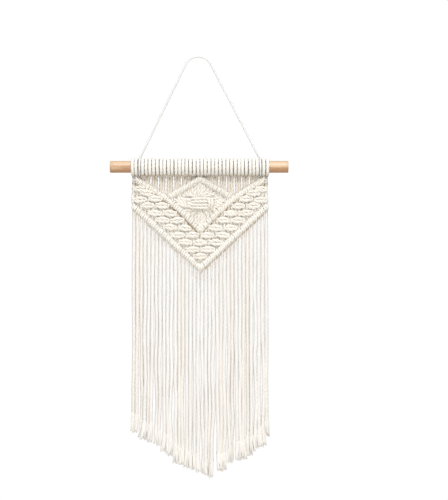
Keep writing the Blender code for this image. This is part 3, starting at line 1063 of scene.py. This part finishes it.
def make_heading(surface):
    cords = Cords()
    for number in range(1, STRANDS + 1):
        rows = wrap_rows(number)
        phase, tone = RNG.uniform(0, 6), RNG.random() * 0.7
        cords.lay(rows, **HEADING_CORD, phase=phase, tone=tone, shade_to_paint=near_dowel)
    cords.piece("heading_wraps", surface, ["knotted_panel"])


def make_panel(surface):
    halves = {"panel_left": Cords(), "panel_right": Cords()}
    for number in range(1, STRANDS + 1):
        cords = halves["panel_left" if number < MIDDLE else "panel_right"]
        phase, tone = RNG.uniform(0, 6), RNG.random() * 0.7
        rows = panel_rows(number)
        cords.lay(rows, **PANEL_CORD, phase=phase, tone=tone, shade_to_paint=behind_front)
    for side, (name, cords) in zip((-1, 1), halves.items()):
        cords.lay(holding_rows(UPPER_V, side), **HOLDING_CORD)
        cords.lay(inverted_holding_rows(side), **HOLDING_CORD)
        cords.piece(name, surface, ["knotted_panel"])


def make_fringe(surface, bar_surface):
    bar = Cords()
    halves = {"fringe_left": Cords(), "fringe_right": Cords()}
    for number in range(1, STRANDS + 1):
        # Strands set back take a warm tone as painted shade; the others' tones differ at random
        tone = 0.9 if number in SET_BACK else RNG.random() * 0.6
        phase = RNG.uniform(0, 6)
        rows = lower_bar_rows(number)
        bar.lay(rows, **LOWER_BAR_CORD, phase=phase, tone=tone / 2, shade_to_paint=behind_front)
        cords = halves["fringe_left" if number < MIDDLE else "fringe_right"]
        rows, shade_to_paint = fringe_rows(number), leaving_bar(number)
        cords.lay(rows, **FRINGE_CORD, phase=phase, tone=tone, shade_to_paint=shade_to_paint)
        # The locks take a tone about half the strand's, a paler one that is painted light against
        # the shade at the frayed tips
        fray(cords, rows, tuft_of(number)[1], 0.1 + tone / 2)
    for side in (-1, 1):
        bar.lay(holding_rows(LOWER_V, side), **HOLDING_CORD)
    bar.piece("lower_bar", bar_surface, ["fringe"])
    for name, cords in halves.items():
        cords.piece(name, surface, ["fringe"])


def dowel_stations():
    """Place along the dowel and radius there, from the middle of one end to the other's."""
    end, straight = -DOWEL_LENGTH / 2, DOWEL_LENGTH - 2 * EASED
    near = [
        *[(end, radius) for radius in (0.0, 3.0, DOWEL_RADIUS - 0.9, DOWEL_RADIUS - EASED)],
        (end + EASED_MIDDLE, DOWEL_RADIUS - EASED_MIDDLE),
        (end + EASED, DOWEL_RADIUS),
    ]
    rings = [
        (end + EASED + straight * i / DOWEL_RINGS, DOWEL_RADIUS) for i in range(1, DOWEL_RINGS)
    ]
    return [*near, *rings, *[(-x, radius) for x, radius in near[::-1]]]


def make_dowel(surface):
    """A sanded rod: very slightly uneven along its length, with eased, sawn ends."""
    stations, sides = dowel_stations(), DOWEL_SIDES
    places, faces = [], []
    for x, radius in stations:
        for j in range(sides):
            angle = math.tau * j / sides
            bent = radius * (1 + UNEVEN * math.sin(x / 23 + 2 * angle))
            places.append((DOWEL_X + x, bent * math.cos(angle), DOWEL_Z + bent * math.sin(angle)))
    for i in range(len(stations) - 1):
        for j in range(sides):
            k = (j + 1) % sides
            a, b = i * sides, (i + 1) * sides
            faces.append((a + j, b + j, b + k, a + k))
    mesh = bpy.data.meshes.new("dowel_rod")
    mesh.from_pydata([tuple(v * MM for v in p) for p in places], [], faces)
    weld(mesh)
    fitted(mesh, surface, ["dowel"])


def weld(mesh):
    """Points that lie on each other, as in the middle of a rod's ends, become one."""
    bm = bmesh.new()
    bm.from_mesh(mesh)
    bmesh.ops.remove_doubles(bm, verts=bm.verts, dist=1e-6)
    bmesh.ops.recalc_face_normals(bm, faces=bm.faces)
    bm.to_mesh(mesh)
    bm.free()


def make_lamp(name, place, diameter, power, colour):
    data = bpy.data.lights.new(name, "AREA")
    data.shape = "DISK"
    data.size, data.energy, data.color = diameter, power, colour
    lamp = placed(name, data)
    lamp.location = place
    aim = Vector(LAMPS_AIM) - Vector(place)
    lamp.rotation_euler = aim.to_track_quat("-Z", "Y").to_euler()


def make_studio():
    """Soft light from the front right and from above, in front of a white backdrop."""
    world = bpy.data.worlds.new("studio")
    bpy.context.scene.world = world
    world.use_nodes = True
    background = world.node_tree.nodes["Background"]
    background.inputs["Color"].default_value = (*WHITE, 1.0)
    background.inputs["Strength"].default_value = ROOM_LIGHT
    bpy.context.scene.view_settings.view_transform = "Standard"
    for lamp in LAMPS:
        make_lamp(*lamp)
    bpy.ops.mesh.primitive_plane_add(size=FLOOR_SIZE, location=(0, 0, FLOOR_Z))
    floor = bpy.context.object
    floor.name = "floor"
    floor.data.materials.append(painted_plaster())
    bpy.ops.mesh.primitive_ico_sphere_add(subdivisions=4, radius=BACKDROP_RADIUS)
    backdrop = bpy.context.object
    backdrop.name = "backdrop"
    backdrop.data.materials.append(lit_paper())
    for ray in ("diffuse", "glossy", "transmission", "shadow"):
        setattr(backdrop, f"visible_{ray}", False)


make_camera()
thin_cotton = cotton("thin_cotton_cord", *THIN_COTTON, mottle=0.5, nap=0.05)
knot_cotton = cotton("cotton_cord", *KNOT_COTTON, mottle=0.6)
fringe_cotton = cotton("fringe_cotton", *FRINGE_COTTON, mottle=0.3)
make_hanger(thin_cotton)
make_heading(knot_cotton)
make_panel(knot_cotton)
make_fringe(fringe_cotton, knot_cotton)
make_dowel(dowel_wood())
make_studio()
